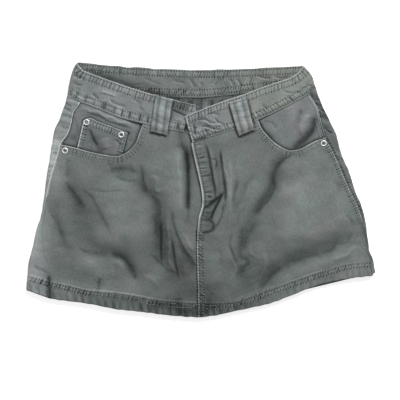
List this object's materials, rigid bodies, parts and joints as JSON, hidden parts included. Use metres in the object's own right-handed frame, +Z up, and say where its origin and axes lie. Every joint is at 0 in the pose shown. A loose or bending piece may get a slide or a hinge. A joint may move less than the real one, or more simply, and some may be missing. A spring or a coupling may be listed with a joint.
{
  "type": "denim a-line skirt",
  "caption": "Short A-line denim skirt laid flat, with a fly front, scooped hip pockets, a coin pocket, a wide waistband with belt loops and a turned-up hem.",
  "frame": {"origin": "centre of the laid-out skirt in X and Y, on the surface it lies on", "axes": "+Z up from the surface, the way the front faces; +Y from the hem to the waist; +X to the right as seen from the front"},
  "size_m": [0.573, 0.4186, 0.0123],
  "materials": {
    "denim": "washed twill, matte",
    "rivet_steel": "satin"
  },
  "bodies": {
    "root": {"back_left": "denim", "back_right": "denim", "yoke_left": "denim", "yoke_right": "denim", "front_left": "denim", "front_right": "denim", "fly_facing": "denim", "facing_left": "denim", "facing_right": "denim", "coin_pocket": "denim", "waistband": "denim", "loop_front_left": "denim", "loop_front_right": "denim", "loop_back_left": "denim", "loop_back_middle": "denim", "loop_back_right": "denim", "rivet_1": "rivet_steel", "rivet_2": "rivet_steel", "rivet_3": "rivet_steel", "rivet_4": "rivet_steel"}
  },
  "joints": []
}
